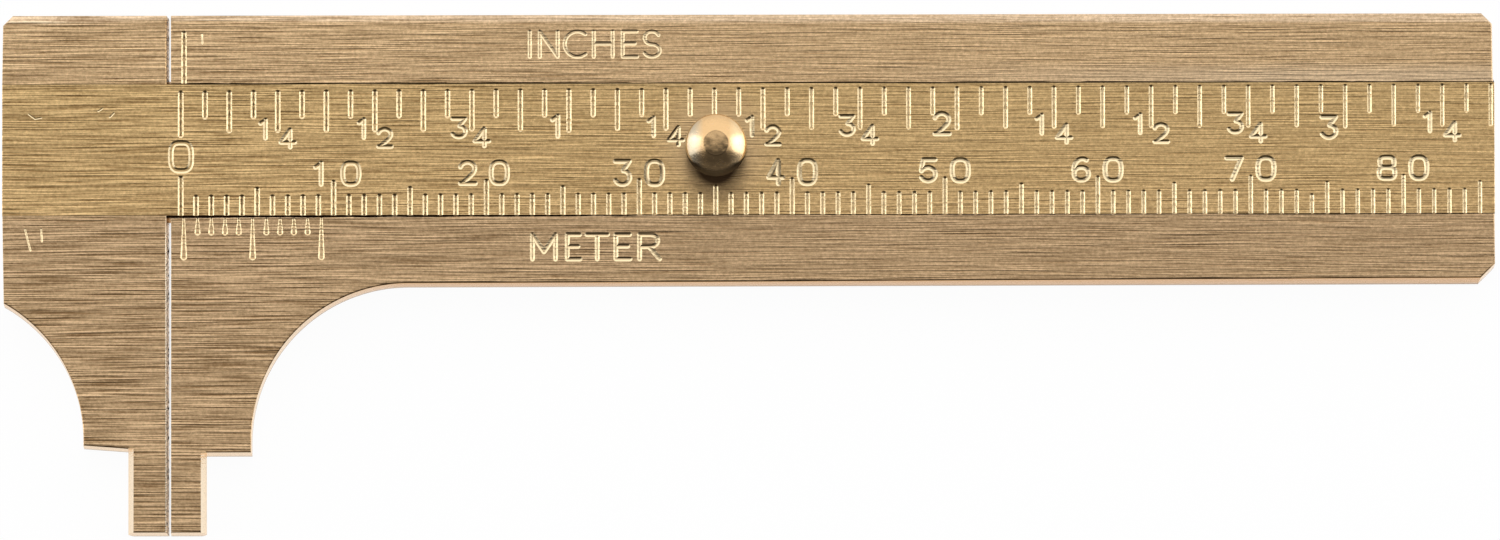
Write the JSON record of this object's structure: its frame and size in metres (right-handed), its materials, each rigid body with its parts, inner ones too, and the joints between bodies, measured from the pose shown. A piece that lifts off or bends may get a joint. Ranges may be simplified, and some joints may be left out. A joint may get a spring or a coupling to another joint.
{
  "type": "sliding vernier caliper",
  "caption": "Small brass sliding caliper: a dovetail scale bar with a moving jaw and thumb knob runs in a flat frame that carries the fixed jaw and vernier.",
  "frame": {"origin": "middle of the whole outline at rest, on the surface that the caliper lies on with its marked face up", "axes": "+X along the beam away from the jaws, +Y away from the jaw tips, +Z out of the marked face"},
  "size_m": [0.0976, 0.034, 0.0074],
  "materials": {
    "frame_brass": "long brushed grain, slightly dulled",
    "bar_brass": "long brushed grain, a little yellower than the frame",
    "knob_brass": "turned and polished",
    "pin_brass": "filed flush",
    "spring_brass": "rolled spring stock"
  },
  "bodies": {
    "frame": {"frame_body": "frame_brass", "friction_spring": "spring_brass"},
    "slide": {"slide_bar": "bar_brass", "slide_head": "frame_brass", "thumb_knob": "knob_brass", "head_pin_upper": "pin_brass", "head_pin_lower": "pin_brass", "stop_pin": "pin_brass"}
  },
  "joints": [
    {"name": "jaw_slide", "type": "slide", "parent": "frame", "child": "slide", "axis": [-1, 0, 0], "range_m": [0, 0.08]}
  ]
}
